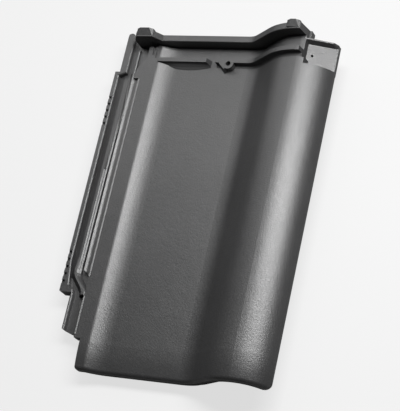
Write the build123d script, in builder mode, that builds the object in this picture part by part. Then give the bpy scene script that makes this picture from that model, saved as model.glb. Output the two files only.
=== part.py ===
from build123d import *

import os
from math import acos, asin, atan2, cos, degrees, pi, radians, sin, sqrt, tan

# Interlocking clay roof tile, pressed and fired as one piece.
# X runs across the tile, Y from the foot (the lower edge on the roof) to the head, Z out of the top face.
# The origin is the middle of the tile's box on the floor, where the tile lies on its foot rib and its nibs.
# In the code a place is given as its distance from the left edge, from the foot and from the floor.

# Overall
overall_width = 282.0
overall_length = 420.0
wall = 12.0
nib_depth = 10.0

# Cross-section of the weather face, from left to right
strip_left = 36.5
trough_left = 81.0
roll_width = 72.5
edge_width = 39.5
shoulder_width = 25.5
shoulder_rise = 6.0
crest_rounding = 8.0
roll_rise = 36.0
valley_radius = 30.0
roll_left_radius = 50.0
edge_drop = 22.0
edge_face_height = 6.0
edge_rounding = 1.2

# Foot
nose_length = 32.0
nose_radius = 150.0
foot_rounding = 5.0
foot_right_corner = 8.0
foot_left_corner = 3.0
body_left = 45.0

# Head, measured from the tile's head end towards the foot
back_rib_setback = 7.0
back_rib_width = 8.2
head_channel_width = 18.3
second_rib_width = 5.0
side_wall_setback = 18.0

# Side lock: floor and rim
lock_floor_thickness = 8.0
rim_width = 7.5
rim_height = 7.0
rim_bevel_width = 2.0
rim_bevel_height = 4.5
flange_bevel_width = 5.5
flange_bevel_height = 8.5
rim_foot_end = 88.5
rim_bend_head = 126.0
rim_bend_middle = 97.0
rim_bend_left = 11.8
rim_bend_drop = 4.0
rim_bend_rounding = 1.8
rim_jog = 5.0
rim_head_setback = 51.5
upper_rim_left = 7.5
upper_rim_width = 9.5
flange_left = 12.3
flange_rim_width = 7.3
flange_foot_left = 47.0
flange_foot_right = 35.5
rim_foot_corner = 4.0
rim_head_corner = 3.0
flange_corner = 3.5
upper_rim_corner = 4.5
arris_rounding = 1.0
arris_slope = 50.0
lock_overlap = 16.0

# Side lock: drainage notches in the rim
notch_count = 5
notch_depth = 3.5
notch_inner_lip = 1.6
upper_notch_setback = 103.4
upper_notch_pitch = 8.5
upper_notch_width = 3.6
lower_notches = 118.2
lower_notch_pitch = 8.9
lower_notch_width = 4.4

# Side lock: lock rib, groove and ledge beside the strip
lock_rib_left = 24.8
lock_rib_top = 27.3
lock_rib_right = 29.6
lock_rib_height = 8.0
lock_rib_foot = 118.0
lock_rib_head_setback = 57.5
groove_depth = 4.0
groove_bevel = 0.7
groove_foot = 108.0
groove_head_setback = 61.0
groove_end_length = 3.0
bead_width = 1.6
bead_height = 1.0
bead_gap = 4.0
low_rib_width = 2.2
low_rib_height = 4.0
low_rib_bevel = 0.6
low_rib_length = 31.0

# Side lock: drip ridge that leads water from the channel to the flange
ridge_tip = 324.0
ridge_lip_head = 278.0
ridge_step = 243.0
ridge_merge = 132.0
ridge_bend_head = 116.0
ridge_bend_foot = 86.0
ridge_right = 22.0
ridge_height = 5.5
ridge_fall = 1.3
mound_left = 14.0
mound_width = 3.0
mound_flank = 7.0
mound_height = 3.0
dip_height = 2.2
lip_width = 1.4
lip_height = 4.2
lip_bevel = 0.9
ridge_rise = 0.2

# Strip's head end
strip_corner_setback = 48.5
strip_corner_length = 16.5
strip_corner_shift = 5.0
strip_end_setback = 19.0
slot_left = 47.0
slot_width = 3.2
slot_length = 11.0
slot_depth = 2.5

# Ribs of the head lock
channel_sink = 2.0
second_rib_height = 8.0
second_rib_left = 56.5
gap_offset = 39.0
gap_width = 11.5
second_rib_slope = 4.5
scoop_length = 8.5
scoop_offset = 7.0
scoop_sink = 0.6
batter = 2.5
back_rib_height = 14.0
hump_left = 24.5
hump_top_left = 31.0
hump_top_right = 51.0
hump_right = 60.0
hump_height = 25.0
hump_shoulder = 3.0
lug_start = 0.4
lug_height = 3.2
lug_width = 14.0
lug_overhang = 2.0
lug_slope = 1.5

# Nail hole and its boss
nail_hole_diameter = 6.0
nail_hole_inset = 22.0
nail_hole_offset = 1.2
nail_boss_radius = 6.5
nail_boss_tip = 11.8
keel_length = 18.7
keel_tip_offset = 5.6
keel_draft = 5.0

# Corner of the roll cut away at the head
corner_width = 32.0
corner_step_width = 3.0
corner_step_length = 7.2
corner_foot_setback = 50.7
corner_height = 48.5
corner_draft = 11.6
side_wall_width = 4.5
side_wall_start = 0.2
side_wall_height = 6.5
side_wall_reach = 3.0
side_wall_bevel = 4.0
ledge_reach = 10.0
ledge_rise = 3.5
ledge_thickness = 8.5
pilot_hole_diameter = 3.0
pilot_hole_inset = 5.8
pilot_hole_offset = 2.8

# Underside
nib_width = 32.0
nib_length = 16.0
nib_spacing = 64.0
nib_tip_length = 10.0
nib_setback = 36.0
hanging_rib_width = 4.0
channel_rib_inset = 31.0
channel_rib_foot = 102.0
channel_rib_head_setback = 54.0
channel_rib_bottom = 21.0
groove_rib_inset = 13.0
groove_rib_foot = 112.0
groove_rib_head_setback = 64.0
groove_rib_bottom = 27.0
foot_rib_foot = 42.0
foot_rib_width = 7.0
foot_rib_edge_turn = 35.0
front_rib_foot = 3.0
front_rib_depth = 7.0

# Worked out from the sizes above
left = -overall_width / 2
foot = -overall_length / 2
underside = nib_depth
trough_top = underside + wall
strip_top = trough_top + shoulder_rise
crest_top = trough_top + roll_rise
edge_top = crest_top - edge_drop
edge_bottom = edge_top - edge_face_height
lock_floor = underside + lock_floor_thickness
rim_top = lock_floor + rim_height
lock_right = strip_left + lock_overlap
upper_rim_right = upper_rim_left + upper_rim_width
shoulder_radius = (shoulder_width**2 + shoulder_rise**2) / (2 * shoulder_rise) - crest_rounding
roll_crest = overall_width - edge_width
trough_right = roll_crest - roll_width
edge_radius = (edge_width**2 + edge_drop**2) / (2 * edge_drop)
back_rib_head = overall_length - back_rib_setback
back_rib_foot = back_rib_head - back_rib_width
second_rib_head = back_rib_foot - head_channel_width
second_rib_foot = second_rib_head - second_rib_width
side_wall_head = overall_length - side_wall_setback
side_wall_foot = side_wall_head - side_wall_width
rim_head = overall_length - rim_head_setback
lock_rib_head = overall_length - lock_rib_head_setback
groove_head = overall_length - groove_head_setback
strip_corner_foot = overall_length - strip_corner_setback
strip_corner_head = strip_corner_foot + strip_corner_length
strip_end = overall_length - strip_end_setback
corner_foot = overall_length - corner_foot_setback
channel_rib_head = overall_length - channel_rib_head_setback
groove_rib_head = overall_length - groove_rib_head_setback
corner_step_head = corner_foot + corner_step_length
corner_left = overall_width - corner_width
corner_step_left = corner_left + corner_step_width
corner_slope = (corner_height - edge_top) / corner_width
pilot_hole_left = corner_left + pilot_hole_inset
channel_rib_left = overall_width - channel_rib_inset
groove_rib_left = overall_width - groove_rib_inset
nail_hole_left = trough_right - nail_hole_inset
nail_hole_foot = second_rib_foot - nail_hole_offset
gap_right = trough_right - gap_offset
gap_left = gap_right - gap_width
HEADWARD = (0, 1, 0)


def across(from_foot):
    """The upright plane that cuts the tile from side to side."""
    return Plane.XZ.offset(-(foot + from_foot))


def plan(height):
    """The level plane at a height above the floor."""
    return Plane.XY.offset(height)


def spot(from_left, from_foot):
    """A point of the plan."""
    return (left + from_left, foot + from_foot)


def plan_area(height, *points):
    """A level polygon, its points given from the left edge and from the foot."""
    with BuildSketch(plan(height)) as area:
        with BuildLine():
            Polyline(*[spot(from_left, from_foot) for from_left, from_foot in points], close=True)
        make_face()
    return area.sketch


def section_area(from_foot, *points):
    """An upright polygon across the tile, its points given from the left edge and from the floor."""
    with BuildSketch(across(from_foot)) as area:
        with BuildLine():
            Polyline(*[(left + from_left, height) for from_left, height in points], close=True)
        make_face()
    return area.sketch


def corner_at(sketch, from_left, from_foot):
    """The corner of a plan sketch that lies at a point."""
    return sketch.vertices().sort_by_distance((*spot(from_left, from_foot), 0))[0]


def round_off(from_left, from_foot, radius, inward_x, inward_y):
    """Draws what is cut away to round a corner of the plan, outside a circle that touches both sides."""
    with Locations(spot(from_left, from_foot)):
        Rectangle(2 * radius, 2 * radius)
    with Locations(spot(from_left + inward_x * radius, from_foot + inward_y * radius)):
        Circle(radius, mode=Mode.SUBTRACT)


def roll_curve():
    """Length and steepness of the straight flank between the valley's arc and the roll's arc."""
    run = roll_crest - trough_right
    both_radii = valley_radius + roll_left_radius
    sunk = roll_rise - both_radii
    flank = sqrt(run**2 + sunk**2 - both_radii**2)
    steepness = atan2(sunk, run) + atan2(both_radii, flank)
    return flank, degrees(steepness)


def edge_turn(depth, end_height):
    """Angle through which the edge's arc turns from the crest down to end_height."""
    return degrees(acos(1 - (crest_top - depth - end_height) / (edge_radius - depth)))


def roll_line(start, depth, turn):
    """Line over trough, valley, roll and edge, depth below the face. Returns its right end."""
    flank_length, steepness = roll_curve()
    trough = Line((left + start, trough_top - depth), (left + trough_right, trough_top - depth))
    valley = JernArc(trough @ 1, (1, 0), valley_radius + depth, steepness)
    flank = Line(valley @ 1, valley @ 1 + (valley % 1) * flank_length)
    roll = JernArc(flank @ 1, flank % 1, roll_left_radius - depth, -steepness)
    return JernArc(roll @ 1, (1, 0), edge_radius - depth, -turn) @ 1


def face_line(depth, turn):
    """Line of the whole weather face, depth below it. Returns its left and right ends."""
    rounding = max(crest_rounding - depth, 0)
    both_radii = shoulder_radius + depth + rounding
    shoulder_turn = acos(1 - shoulder_rise / both_radii)
    crest_left = left + trough_left - both_radii * sin(shoulder_turn)
    strip = Line((left + strip_left, strip_top - depth), (crest_left, strip_top - depth))
    shoulder_start = strip @ 1
    if rounding:
        shoulder_start = JernArc(strip @ 1, (1, 0), rounding, -degrees(shoulder_turn)) @ 1
    downhill = (cos(shoulder_turn), -sin(shoulder_turn))
    JernArc(shoulder_start, downhill, shoulder_radius + depth, degrees(shoulder_turn))
    return strip @ 0, roll_line(trough_left, depth, turn)


def sheet_section(from_foot):
    """Full section of the sheet, with the roll's upright edge face."""
    with BuildSketch(across(from_foot)) as section:
        with BuildLine():
            top_left, top_right = face_line(0, edge_turn(0, edge_top))
            low_left, low_right = face_line(wall, edge_turn(wall, edge_bottom))
            Line(top_left, low_left)
            Polyline(top_right, (top_right.X, edge_bottom), low_right)
        make_face()
        fillet(section.vertices().group_by(Axis.X)[-1], edge_rounding)
    return section.sketch


def channel_section(from_foot, start, end):
    """Space above the head channel's floor, from start to end."""
    with BuildSketch(across(from_foot)) as section:
        with BuildLine():
            low_left, low_right = face_line(channel_sink, edge_turn(channel_sink, edge_bottom))
            Polyline(low_left, (low_left.X, 2 * crest_top), (low_right.X, 2 * crest_top), low_right)
        make_face()
        with Locations((left + (start + end) / 2, crest_top)):
            Rectangle(end - start, 4 * crest_top, mode=Mode.INTERSECT)
    return section.sketch


def rib_profile(path, rib_start, rib_width, low, high):
    """Section of a rib that is swept along a path, from low to high beside it, with rounded arrises."""
    start = path.wire()
    with BuildSketch(Plane(origin=start @ 0, x_dir=HEADWARD, z_dir=start % 0)) as profile:
        with Locations((rib_start, (low + high) / 2)):
            Rectangle(rib_width, high - low, align=(Align.MIN, Align.CENTER))
        outer = profile.vertices().group_by(Axis.Y)[-1 if high > 0 else 0]
        fillet(outer, arris_rounding)
    return profile.sketch


def plateau_height(from_left):
    """Height of the cut corner's slope."""
    return edge_top + (overall_width - from_left) * corner_slope


def hollow_height(from_left):
    """Height of the underside below the roll's edge."""
    return crest_top - edge_radius + sqrt((edge_radius - wall) ** 2 - (from_left - roll_crest) ** 2)


def corner_space(from_foot, start):
    """Space above the cut corner's slope, to the right of a drafted side that starts at its foot."""
    beyond = overall_width + wall
    ceiling = 3 * crest_top
    draft = tan(radians(corner_draft)) * (ceiling - plateau_height(start))
    with BuildSketch(across(from_foot)) as section:
        with BuildLine():
            Polyline(
                (left + start, plateau_height(start)),
                (left + beyond, plateau_height(beyond)),
                (left + beyond, ceiling),
                (left + start - draft, ceiling),
                close=True,
            )
        make_face()
    return section.sketch


# Sheet with strip, shoulder, trough and roll, trimmed in plan
with BuildPart() as sheet:
    extrude(sheet_section(0), amount=back_rib_head, dir=HEADWARD)
    with BuildSketch(plan(0)):
        with Locations(spot(body_left, flange_foot_right)):
            Rectangle(overall_width, overall_length, align=(Align.MAX, Align.MAX))
        with Locations(spot(corner_left, side_wall_head)):
            Rectangle(overall_width, overall_length, align=(Align.MIN, Align.MIN))
        round_off(overall_width, 0, foot_right_corner, -1, 1)
        round_off(body_left, 0, foot_left_corner, 1, 1)
    extrude(amount=2 * crest_top, mode=Mode.SUBTRACT)

# Nose: the face droops towards the foot and rounds over into the foot's end face
with BuildPart() as nose_cut:
    with BuildLine(across(0)) as nose_path:
        face_line(0, edge_turn(0, underside))
    nose_start = nose_path.wire()
    with BuildSketch(Plane(origin=nose_start @ 0, x_dir=HEADWARD, z_dir=nose_start % 0)):
        droop_turn = degrees(asin((nose_length - foot_rounding) / (nose_radius - foot_rounding)))
        with BuildLine():
            droop = JernArc((nose_length, 0), (-1, 0), nose_radius, droop_turn)
            end_rounding = JernArc(droop @ 1, droop % 1, foot_rounding, 90 - droop_turn)
            Polyline(
                end_rounding @ 1,
                (-wall, (end_rounding @ 1).Y),
                (-wall, wall),
                (nose_length, wall),
                (nose_length, 0),
            )
        make_face()
    sweep(path=nose_path.wire())

# Side lock: floor and rim, then the channel sunk into it
with BuildPart() as side_lock:
    with BuildSketch(plan(underside)) as lock_outline:
        with BuildLine():
            Polyline(
                spot(0, rim_head),
                spot(0, rim_foot_end),
                spot(flange_left, rim_foot_end),
                spot(flange_left, flange_foot_left),
                spot(body_left, flange_foot_right),
                spot(lock_right, flange_foot_right),
                spot(lock_right, back_rib_head),
                spot(upper_rim_right, back_rib_head),
                spot(upper_rim_right, overall_length),
                spot(upper_rim_left, overall_length),
                spot(upper_rim_left, rim_head),
                close=True,
            )
        make_face()
        fillet(corner_at(lock_outline, 0, rim_foot_end), rim_foot_corner)
        fillet(corner_at(lock_outline, 0, rim_head), rim_head_corner)
        fillet(corner_at(lock_outline, flange_left, flange_foot_left), flange_corner)
        fillet(corner_at(lock_outline, upper_rim_left, overall_length), upper_rim_corner)
        fillet(corner_at(lock_outline, upper_rim_right, overall_length), upper_rim_corner)
    extrude(amount=rim_top - underside)
    # Outer bevels of the rim, of its upper length and of the flange
    for rim_left, bevel_foot, bevel_head, bevel_width, bevel_height in (
        (0, rim_foot_end, rim_head, rim_bevel_width, rim_bevel_height),
        (upper_rim_left, rim_head, overall_length, arris_rounding, arris_rounding),
        (flange_left, 0, rim_foot_end, flange_bevel_width, flange_bevel_height),
    ):
        extrude(
            section_area(
                bevel_foot,
                (rim_left - bevel_width, rim_top - 2 * bevel_height),
                (rim_left + bevel_width, rim_top),
                (rim_left + bevel_width, rim_top + 1),
                (rim_left - bevel_width, rim_top + 1),
            ),
            amount=bevel_head - bevel_foot,
            dir=HEADWARD,
            mode=Mode.SUBTRACT,
        )
    flange_rim_right = flange_left + flange_rim_width
    # Channel between the rim and the strip, with the rim's inner arris bevelled
    channel_outline = plan_area(
        lock_floor,
        (upper_rim_right, overall_length + 2),
        (upper_rim_right, rim_head - 1),
        (rim_width, rim_head - rim_jog),
        (rim_width, rim_bend_head),
        (rim_bend_left, rim_bend_middle),
        (flange_rim_right - rim_bend_rounding, rim_bend_middle - rim_bend_drop),
        (flange_rim_right, rim_foot_end - 2),
        (flange_rim_right, flange_foot_right - 5),
        (lock_right + 1, flange_foot_right - 5),
        (lock_right + 1, overall_length + 2),
    )
    straight_height = rim_height - arris_rounding
    extrude(channel_outline, amount=straight_height, mode=Mode.SUBTRACT)
    extrude(
        channel_outline.moved(Location((0, 0, straight_height))),
        amount=2 * arris_rounding,
        taper=-arris_slope,
        mode=Mode.SUBTRACT,
    )
    # Drainage notches, cut from the outside and short of the rim's inner side
    with BuildSketch(plan(rim_top - notch_depth)):
        upper_notches = overall_length - upper_notch_setback
        for middle, pitch, width in (
            (upper_notches, upper_notch_pitch, upper_notch_width),
            (lower_notches, lower_notch_pitch, lower_notch_width),
        ):
            with Locations(spot((rim_width - notch_inner_lip) / 2 - 1, middle)):
                with GridLocations(0, pitch, 1, notch_count):
                    Rectangle(rim_width - notch_inner_lip + 2, width)
    extrude(amount=notch_depth + 1, mode=Mode.SUBTRACT)

# Ledge beside the strip: lock rib and groove, ending at the foot in a slanted face
with BuildPart() as ledge:
    extrude(
        section_area(
            groove_foot,
            (lock_rib_left, lock_floor - 1),
            (lock_rib_top, lock_floor + lock_rib_height),
            (lock_rib_right, strip_top - groove_depth + groove_bevel),
            (lock_rib_right + groove_bevel, strip_top - groove_depth),
            (strip_left + 1, strip_top - groove_depth),
            (strip_left + 1, lock_floor - 1),
        ),
        amount=lock_rib_head - groove_foot,
        dir=HEADWARD,
    )
    extrude(
        plan_area(
            0,
            (lock_rib_left - 1, lock_rib_foot),
            (lock_rib_left, lock_rib_foot),
            (strip_left + 1, groove_foot),
            (lock_rib_left - 1, groove_foot),
        ),
        amount=2 * rim_top,
        mode=Mode.SUBTRACT,
    )
    # Strip's end over the lock, with its cut corner
    extrude(
        plan_area(
            lock_floor - 1,
            (lock_rib_right, groove_head),
            (lock_rib_right, groove_head + groove_end_length),
            (strip_left - strip_corner_shift, strip_corner_foot),
            (strip_left + strip_corner_shift, strip_corner_head),
            (strip_left + strip_corner_shift, strip_end),
            (lock_right - 1, strip_end),
            (lock_right - 1, groove_head),
        ),
        amount=strip_top - lock_floor + 1,
    )
    # Low rib that carries the lock rib's line on towards the head
    extrude(
        section_area(
            rim_head,
            (lock_rib_left, lock_floor - 1),
            (lock_rib_left + low_rib_bevel, lock_floor + low_rib_height),
            (lock_rib_left + low_rib_width - low_rib_bevel, lock_floor + low_rib_height - low_rib_bevel),
            (lock_rib_left + low_rib_width, lock_floor - 1),
        ),
        amount=low_rib_length,
        dir=HEADWARD,
    )
    # Bead along the strip's edge
    for bead_foot, bead_head in (
        (groove_foot, groove_head - 1),
        (flange_foot_right + bead_gap, rim_foot_end - bead_gap),
    ):
        extrude(
            section_area(
                bead_foot,
                (strip_left, strip_top - 1),
                (strip_left + bead_width / 4, strip_top + bead_height),
                (strip_left + bead_width, strip_top),
                (strip_left + bead_width, strip_top - 1),
            ),
            amount=bead_head - bead_foot,
            dir=HEADWARD,
        )


def ridge_station(from_foot, mound_left, mound_height, dip_height, lip_right, lip_height):
    """Section of the drip ridge: a slope up from the rim, a mound, a dip and a lip with a bevelled arris."""
    return section_area(
        from_foot,
        (mound_left - mound_flank, lock_floor - 1),
        (mound_left - mound_flank, lock_floor),
        (mound_left, lock_floor + mound_height),
        (mound_left + mound_width, lock_floor + mound_height),
        ((mound_left + mound_width + lip_right - lip_width) / 2, lock_floor + dip_height),
        (lip_right - lip_width, lock_floor + lip_height),
        (lip_right, lock_floor + lip_height - lip_bevel),
        (lip_right + lip_bevel / 2, lock_floor - 1),
    )


# Drip ridge, which rises out of the channel's floor and bends over to the strip above the flange
with BuildPart() as drip_ridge:
    stations = [
        ridge_station(station_foot, mound_left, mound_height - sunk, dip, lip_right, lip_height - sunk)
        for station_foot, sunk, dip, lip_right in (
            (rim_head, 10 * ridge_rise, mound_height - 10 * ridge_rise, lock_rib_left),
            (ridge_tip, 7 * ridge_rise, mound_height - 7 * ridge_rise, lock_rib_left),
            (ridge_lip_head, 3 * ridge_rise, dip_height, ridge_right),
            (ridge_step + 1, 2 * ridge_rise, mound_height, ridge_right),
            (ridge_step, ridge_rise, dip_height, ridge_right),
            (ridge_merge, 0, dip_height, ridge_right),
        )
    ]
    bend_steps = 8
    for step in range(bend_steps + 1):
        way = step / bend_steps
        ease = (1 - cos(pi * way)) / 2
        crest = ridge_height + ease * (strip_top - lock_floor - ridge_height)
        fall = ridge_fall * (1 - ease)
        stations.append(
            ridge_station(
                ridge_bend_head + way * (ridge_bend_foot - ridge_bend_head),
                mound_left + ease * (strip_left - 1.5 * mound_width - mound_left),
                crest,
                crest - fall / 2,
                ridge_right + ease * (strip_left + 0.5 - ridge_right),
                crest - fall,
            )
        )
    loft(stations, ruled=True)


def scoop_layer(height, reach, right_end):
    """Plan of the second rib's left length at a height, its front curving out by reach towards the foot."""
    with BuildSketch(plan(height)) as layer:
        with BuildLine():
            Spline(
                spot(second_rib_left, second_rib_foot),
                spot(trough_left + scoop_offset, second_rib_foot - reach),
                spot(right_end, second_rib_foot - reach / 2),
            )
            Polyline(
                spot(right_end, second_rib_foot - reach / 2),
                spot(right_end, second_rib_head),
                spot(second_rib_left, second_rib_head),
                spot(second_rib_left, second_rib_foot),
            )
        make_face()
    return layer.sketch


# Second rib: a straight length over strip and trough, scooped out in front, and a length up over the roll
with BuildPart() as second_rib:
    scoop_steps = 4
    layers = []
    rib_top = trough_top + second_rib_height
    for step in range(scoop_steps + 1):
        way = step / scoop_steps
        reach = scoop_length * (1 - way) ** 2.5
        height = trough_top - scoop_sink + way * (second_rib_height + scoop_sink)
        layers.append(scoop_layer(height, reach, gap_left + second_rib_slope * (1 - way)))
    loft(layers, ruled=True)
    with BuildLine(across(0)) as second_path:
        roll_line(gap_right, 0, edge_turn(0, corner_height))
    start = second_path.wire()
    with BuildSketch(Plane(origin=start @ 0, x_dir=HEADWARD, z_dir=start % 0)):
        with BuildLine():
            Polyline(
                (second_rib_head, -wall / 2),
                (second_rib_head, second_rib_height),
                (second_rib_foot, second_rib_height),
                (second_rib_foot, batter),
                (second_rib_foot - batter / 2, batter / 3),
                (second_rib_foot - 1.5 * batter, 0),
                (second_rib_foot - 1.5 * batter, -wall / 2),
                close=True,
            )
        make_face()
    sweep(path=second_path.wire())

# Nail boss: a round boss with a pointed keel that parts the water
with BuildPart() as nail_boss:
    with BuildSketch(plan(trough_top - wall / 2)):
        with Locations(spot(nail_hole_left, nail_hole_foot)):
            Circle(nail_boss_radius)
    extrude(amount=second_rib_height + wall / 2)
    keel = [
        plan_area(
            height,
            (nail_hole_left - keel_length + shrink, second_rib_foot + 1),
            (nail_hole_left - keel_tip_offset + shrink / 4, nail_hole_foot - nail_boss_tip + shrink),
            (nail_hole_left + nail_boss_radius - shrink / 4, nail_hole_foot - nail_boss_radius / 3),
            (nail_hole_left + nail_boss_radius / 2, second_rib_foot + 2),
        )
        for height, shrink in ((trough_top - wall / 2, 0), (rib_top, keel_draft))
    ]
    loft(keel, ruled=True)

# Left end of the back rib, which rises to a hump over the lock
with BuildPart() as hump:
    shoulder_top = trough_top + back_rib_height
    hump_top = trough_top + hump_height
    extrude(
        section_area(
            back_rib_foot,
            (hump_left, lock_floor - 1),
            (hump_left, shoulder_top),
            ((hump_left + hump_top_left) / 2, hump_top - hump_shoulder),
            (hump_top_left, hump_top),
            (hump_top_right, hump_top),
            (hump_right, shoulder_top),
            (trough_left, shoulder_top),
            (trough_left, lock_floor - 1),
        ),
        amount=back_rib_width,
        dir=HEADWARD,
    )
    end_faces = hump.faces().filter_by(Axis.Y)
    fillet(end_faces.edges().filter_by(lambda edge: edge.center().Z >= shoulder_top - 0.1), arris_rounding)

# Back rib: it follows the face over trough and roll
with BuildPart() as back_rib:
    with BuildLine(across(0)) as back_path:
        roll_line(trough_left, 0, edge_turn(0, corner_height))
    sweep(
        rib_profile(back_path, back_rib_foot, back_rib_width, -wall / 2, back_rib_height),
        path=back_path.wire(),
    )
    add(hump.part)
    # Lugs on the hump and on the crest, rising and widening towards the head, on which the next tile bears
    for lug_left, lug_right, lug_base in (
        (hump_top_left - 1, hump_top_right, hump_top),
        (roll_crest - lug_width, roll_crest + lug_slope, crest_top + back_rib_height),
    ):
        lug_ends = []
        for lug_foot, lug_rise in (
            (back_rib_foot + 2 * arris_rounding, lug_start),
            (back_rib_head + lug_overhang, lug_height),
        ):
            lug_ends.append(
                section_area(
                    lug_foot,
                    (lug_left, lug_base - wall / 2),
                    (lug_left, lug_base),
                    (lug_left + lug_slope * lug_rise, lug_base + lug_rise),
                    (lug_right - lug_slope * lug_rise, lug_base + lug_rise),
                    (lug_right, lug_base),
                    (lug_right, lug_base - wall / 2),
                )
            )
        loft(lug_ends, ruled=True)

# Corner at the head that a neighbouring tile's corner covers: a sloping ledge with a wall at its head
with BuildPart() as corner_ledge:
    extrude(
        section_area(
            corner_foot - wall / 3,
            (corner_left - ledge_reach, corner_height + ledge_rise),
            (corner_left, corner_height),
            (overall_width - edge_rounding, plateau_height(overall_width - edge_rounding)),
            (overall_width, edge_top - edge_rounding / 2),
            (overall_width, edge_bottom),
            (overall_width - ledge_thickness, edge_bottom),
            (corner_left, corner_height - ledge_thickness),
            (corner_left - ledge_reach, corner_height + ledge_rise - ledge_thickness),
        ),
        amount=side_wall_head - corner_foot + wall / 3,
        dir=HEADWARD,
    )
    # Wall at the ledge's head, its front sloping back
    wall_left = corner_left - side_wall_reach
    wall_right = overall_width - side_wall_bevel
    wall_stations = []
    for from_foot, rise in (
        (side_wall_foot, side_wall_start),
        (side_wall_head - side_wall_width / 3, side_wall_height),
        (side_wall_head, side_wall_height),
    ):
        wall_stations.append(
            section_area(
                from_foot,
                (wall_left, corner_height - ledge_thickness / 2),
                (wall_left, plateau_height(wall_left) + rise),
                (wall_right, plateau_height(wall_right) + rise),
                (overall_width, edge_top - edge_rounding / 2 + rise / 3),
                (overall_width, edge_bottom + 1),
                (overall_width - ledge_thickness, edge_bottom + 1),
            )
        )
    loft(wall_stations, ruled=True)
    block_foot = side_wall_head - side_wall_width / 3
    extrude(
        section_area(
            block_foot,
            (wall_left, corner_height - ledge_thickness),
            (wall_left, corner_height + 2),
            (corner_left + 2, corner_height + 2),
            (corner_left + 2, corner_height - ledge_thickness),
        ),
        amount=back_rib_head - block_foot,
        dir=HEADWARD,
    )

# Underside: nibs that hook over the batten, ribs under the foot, and two ribs over the next tile's side lock
with BuildPart() as underside_ribs:
    trough_middle = (trough_left + trough_right) / 2
    for nib_middle in (trough_middle - nib_spacing / 2, trough_middle + nib_spacing / 2):
        nib_foot = overall_length - nib_setback
        with BuildSketch(Plane.YZ.offset(left + nib_middle - nib_width / 2)):
            with BuildLine():
                Polyline(
                    (foot + nib_foot, underside + wall / 2),
                    (foot + nib_foot, 0),
                    (foot + nib_foot + nib_tip_length, 0),
                    (foot + nib_foot + nib_length, underside),
                    (foot + nib_foot + nib_length, underside + wall / 2),
                    close=True,
                )
            make_face()
        extrude(amount=nib_width)
    with BuildLine(across(0)) as underside_path:
        roll_line(trough_left, wall, foot_rib_edge_turn)
    for rib_foot, rib_depth in ((foot_rib_foot, nib_depth), (front_rib_foot, front_rib_depth)):
        sweep(
            rib_profile(underside_path, rib_foot, foot_rib_width, -rib_depth, wall / 3),
            path=underside_path.wire(),
        )
    for rib_left, rib_foot, rib_head, rib_bottom in (
        (channel_rib_left, channel_rib_foot, channel_rib_head, channel_rib_bottom),
        (groove_rib_left, groove_rib_foot, groove_rib_head, groove_rib_bottom),
    ):
        with BuildSketch(plan(rib_bottom)):
            with Locations(spot(rib_left, rib_foot)):
                Rectangle(hanging_rib_width, rib_head - rib_foot, align=(Align.MIN, Align.MIN))
        extrude(amount=hollow_height(rib_left) + wall / 3 - rib_bottom)

# The whole tile
with BuildPart() as roof_tile:
    add(sheet.part)
    add(nose_cut.part, mode=Mode.SUBTRACT)
    # Strip cut back at its head end, down to the lock's floor
    channel_left = lock_right - 1
    extrude(
        plan_area(
            lock_floor,
            (strip_left - strip_corner_shift, strip_corner_foot),
            (strip_left + strip_corner_shift, strip_corner_head),
            (strip_left + strip_corner_shift, strip_end),
            (channel_left, strip_end),
            (channel_left, overall_length),
            (strip_left - strip_corner_shift, overall_length),
        ),
        amount=wall,
        mode=Mode.SUBTRACT,
    )
    # Channel between the two ribs
    extrude(
        channel_section(second_rib_head, channel_left, corner_left),
        amount=back_rib_foot - second_rib_head,
        dir=HEADWARD,
        mode=Mode.SUBTRACT,
    )
    add(side_lock.part)
    add(ledge.part)
    add(drip_ridge.part)
    add(second_rib.part)
    add(nail_boss.part)
    add(back_rib.part)
    # Space over the cut corner
    for step_foot, step_left in ((corner_foot, corner_step_left), (corner_step_head, corner_left)):
        extrude(
            corner_space(step_foot, step_left),
            amount=overall_length,
            dir=HEADWARD,
            mode=Mode.SUBTRACT,
        )
    add(corner_ledge.part)
    add(underside_ribs.part)
    # Slot in the strip's head end
    with BuildSketch(plan(strip_top - slot_depth)):
        with Locations(spot(slot_left, strip_end)):
            Rectangle(slot_width, slot_length, align=(Align.MIN, Align.MAX))
    extrude(amount=2 * slot_depth, mode=Mode.SUBTRACT)
    # Nail hole through the boss and pilot hole in the corner ledge
    for hole_left, hole_foot, hole_diameter in (
        (nail_hole_left, nail_hole_foot, nail_hole_diameter),
        (pilot_hole_left, second_rib_head - pilot_hole_offset, pilot_hole_diameter),
    ):
        with Locations((left + hole_left, foot + hole_foot, 0)):
            Cylinder(hole_diameter / 2, 4 * crest_top, mode=Mode.SUBTRACT)

os.makedirs("parts", exist_ok=True)
roof_tile.part.label = "roof_tile"
export_step(roof_tile.part, "parts/roof_tile.step")
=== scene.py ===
import bpy
from mathutils import Matrix, Vector


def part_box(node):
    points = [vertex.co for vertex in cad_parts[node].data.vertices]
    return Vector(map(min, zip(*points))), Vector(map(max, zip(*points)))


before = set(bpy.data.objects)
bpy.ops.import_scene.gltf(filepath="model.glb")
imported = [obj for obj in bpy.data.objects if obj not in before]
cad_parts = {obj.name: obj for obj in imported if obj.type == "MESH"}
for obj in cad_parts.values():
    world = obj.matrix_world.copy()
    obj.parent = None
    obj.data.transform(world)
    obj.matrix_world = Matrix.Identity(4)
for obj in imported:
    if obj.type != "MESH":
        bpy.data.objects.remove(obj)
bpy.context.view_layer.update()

# Roof tile: one pressed blank of clay, dipped in a dark engobe and fired.
# The engobe is a thin satin skin over every face, a little uneven in tone and gloss,
# and the grog of the clay stands through it as a fine grain.
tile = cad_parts["roof_tile"]

thick_dip = (0.030, 0.030, 0.0305, 1)
thin_dip = (0.038, 0.038, 0.0385, 1)
sheen = 0.85
glossy_spot = 0.36
dry_spot = 0.42
wave_height = 0.0006
wave_strength = 0.25
grain_height = 0.0005
grain_strength = 0.5

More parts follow.
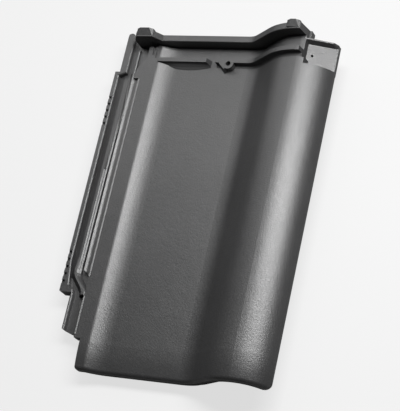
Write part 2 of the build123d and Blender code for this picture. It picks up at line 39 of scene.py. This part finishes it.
engobe = bpy.data.materials.new("dark_engobe")
engobe.use_nodes = True
nodes = engobe.node_tree.nodes
links = engobe.node_tree.links
nodes.clear()

output = nodes.new("ShaderNodeOutputMaterial")
skin = nodes.new("ShaderNodeBsdfPrincipled")
skin.inputs["Specular IOR Level"].default_value = sheen
links.new(skin.outputs["BSDF"], output.inputs["Surface"])
place = nodes.new("ShaderNodeTexCoord")


def cloud(scale, detail, roughness):
    """A noise on the tile's own coordinates, in cycles to the metre."""
    noise = nodes.new("ShaderNodeTexNoise")
    noise.inputs["Scale"].default_value = scale
    noise.inputs["Detail"].default_value = detail
    noise.inputs["Roughness"].default_value = roughness
    links.new(place.outputs["Object"], noise.inputs["Vector"])
    return noise.outputs["Fac"]


def spread(noise, low, high):
    """Carries the part of its range where a noise mostly lies to a range from low to high."""
    noise_low, noise_high = 0.3, 0.7
    shift = nodes.new("ShaderNodeMapRange")
    shift.inputs["From Min"].default_value = noise_low
    shift.inputs["From Max"].default_value = noise_high
    shift.inputs["To Min"].default_value = low
    shift.inputs["To Max"].default_value = high
    links.new(noise, shift.inputs["Value"])
    return shift.outputs["Result"]


def relief(noise, height, strength):
    """A bump that follows a noise, with its height in metres."""
    bump = nodes.new("ShaderNodeBump")
    bump.inputs["Strength"].default_value = strength
    bump.inputs["Distance"].default_value = height
    links.new(noise, bump.inputs["Height"])
    return bump


# Tone and gloss: broad clouds from the dipping, and a fine mottle over the grog
dip_clouds = cloud(scale=14, detail=4, roughness=0.6)
tone = nodes.new("ShaderNodeMix")
tone.data_type = "RGBA"
tone.inputs["A"].default_value = thick_dip
tone.inputs["B"].default_value = thin_dip
links.new(spread(dip_clouds, 0, 1), tone.inputs["Factor"])
links.new(tone.outputs["Result"], skin.inputs["Base Color"])
mottle = cloud(scale=260, detail=3, roughness=0.6)
links.new(spread(mottle, glossy_spot, dry_spot), skin.inputs["Roughness"])

# Grain: faint waves from the press, and over them the orange peel of the skin
waves = relief(cloud(scale=70, detail=2, roughness=0.5), wave_height, wave_strength)
grain = relief(cloud(scale=620, detail=4, roughness=0.65), grain_height, grain_strength)
links.new(waves.outputs["Normal"], grain.inputs["Normal"])
links.new(grain.outputs["Normal"], skin.inputs["Normal"])

tile.data.materials.clear()
tile.data.materials.append(engobe)

# Floor: a plain pale sweep of studio paper that takes the tile's soft shadow.
# To the camera it is pale and evenly lit, by a glow that is most of what the camera sees.
# To the tile it is a dim grey, so little light comes back from below.
floor_side = 12
paper_to_tile = (0.22, 0.22, 0.22, 1)
paper_to_camera = (0.74, 0.74, 0.74, 1)
paper_glow = (0.88, 0.88, 0.88, 1)
glow_share = 0.8
paper_roughness = 0.9
paper_sheen = 0.2

bpy.ops.mesh.primitive_plane_add(size=floor_side, location=(0, 0, 0))
floor = bpy.context.object
floor.name = "studio_floor"
paper = bpy.data.materials.new("studio_paper")
paper.use_nodes = True
paper_nodes = paper.node_tree.nodes
paper_links = paper.node_tree.links
matt_paper = paper_nodes["Principled BSDF"]
matt_paper.inputs["Roughness"].default_value = paper_roughness
matt_paper.inputs["Specular IOR Level"].default_value = paper_sheen
glow = paper_nodes.new("ShaderNodeEmission")
glow.inputs["Color"].default_value = paper_glow
ray = paper_nodes.new("ShaderNodeLightPath")
paper_tone = paper_nodes.new("ShaderNodeMix")
paper_tone.data_type = "RGBA"
paper_tone.inputs["A"].default_value = paper_to_tile
paper_tone.inputs["B"].default_value = paper_to_camera
share = paper_nodes.new("ShaderNodeMath")
share.operation = "MULTIPLY"
share.inputs[1].default_value = glow_share
paper_mix = paper_nodes.new("ShaderNodeMixShader")
paper_links.new(ray.outputs["Is Camera Ray"], paper_tone.inputs["Factor"])
paper_links.new(paper_tone.outputs["Result"], matt_paper.inputs["Base Color"])
paper_links.new(ray.outputs["Is Camera Ray"], share.inputs[0])
paper_links.new(share.outputs["Value"], paper_mix.inputs["Fac"])
paper_links.new(matt_paper.outputs["BSDF"], paper_mix.inputs[1])
paper_links.new(glow.outputs["Emission"], paper_mix.inputs[2])
paper_links.new(paper_mix.outputs["Shader"], paper_nodes["Material Output"].inputs["Surface"])
floor.data.materials.append(paper)

# Light: a soft box to the right of the tile's head, a wide weaker one over its left,
# and a dim white room.
# Each row is a box's name, direction, the way its width runs, distance, width, depth and power.
softbox_rows = (
    ("key_softbox", (0.50, 0.42, 1.11), (1, 0, 0), 1.3, 1.15, 0.32, 26.0),
    ("wide_softbox", (-0.50, 0.52, 0.70), (0.9, -0.42, 0), 1.2, 1.3, 0.45, 3.4),
)
room_white = (1, 1, 1, 1)
room_strength = 0.03

for lamp_name, direction, width_way, distance, width, depth, power in softbox_rows:
    aim = Vector(direction).normalized()
    across = Vector(width_way)
    across = (across - aim * aim.dot(across)).normalized()
    along = aim.cross(across)
    softbox_light = bpy.data.lights.new(lamp_name, "AREA")
    softbox_light.shape = "RECTANGLE"
    softbox_light.size = width
    softbox_light.size_y = depth
    softbox_light.energy = power
    softbox = bpy.data.objects.new(lamp_name, softbox_light)
    bpy.context.scene.collection.objects.link(softbox)
    lamp_turn = Matrix((across, along, aim)).transposed().to_4x4()
    softbox.matrix_world = Matrix.Translation(aim * distance) @ lamp_turn

room = bpy.data.worlds.new("studio_room")
bpy.context.scene.world = room
room.use_nodes = True
room_light = room.node_tree.nodes["Background"]
room_light.inputs["Color"].default_value = room_white
room_light.inputs["Strength"].default_value = room_strength

# Camera: the photograph's place and angle, high in front of the tile's foot and to its right.
# Its three axes and its place were solved from the tile's long and cross edges.
film_width = 36
lens = 139.74
camera_right = (0.9103, 0.2104, -0.3566)
camera_up = (-0.0594, 0.9186, 0.3906)
camera_back = (0.4098, -0.3344, 0.8487)
tile_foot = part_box("roof_tile")[0].y
camera_place = (0.7235, tile_foot - 0.3784, 1.5023)

camera_data = bpy.data.cameras.new("camera")
camera_data.sensor_fit = "HORIZONTAL"
camera_data.sensor_width = film_width
camera_data.lens = lens
camera = bpy.data.objects.new("camera", camera_data)
bpy.context.scene.collection.objects.link(camera)
camera_turn = Matrix((camera_right, camera_up, camera_back)).transposed().to_4x4()
camera.matrix_world = Matrix.Translation(camera_place) @ camera_turn
bpy.context.scene.camera = camera

bpy.context.scene.view_settings.view_transform = "Standard"
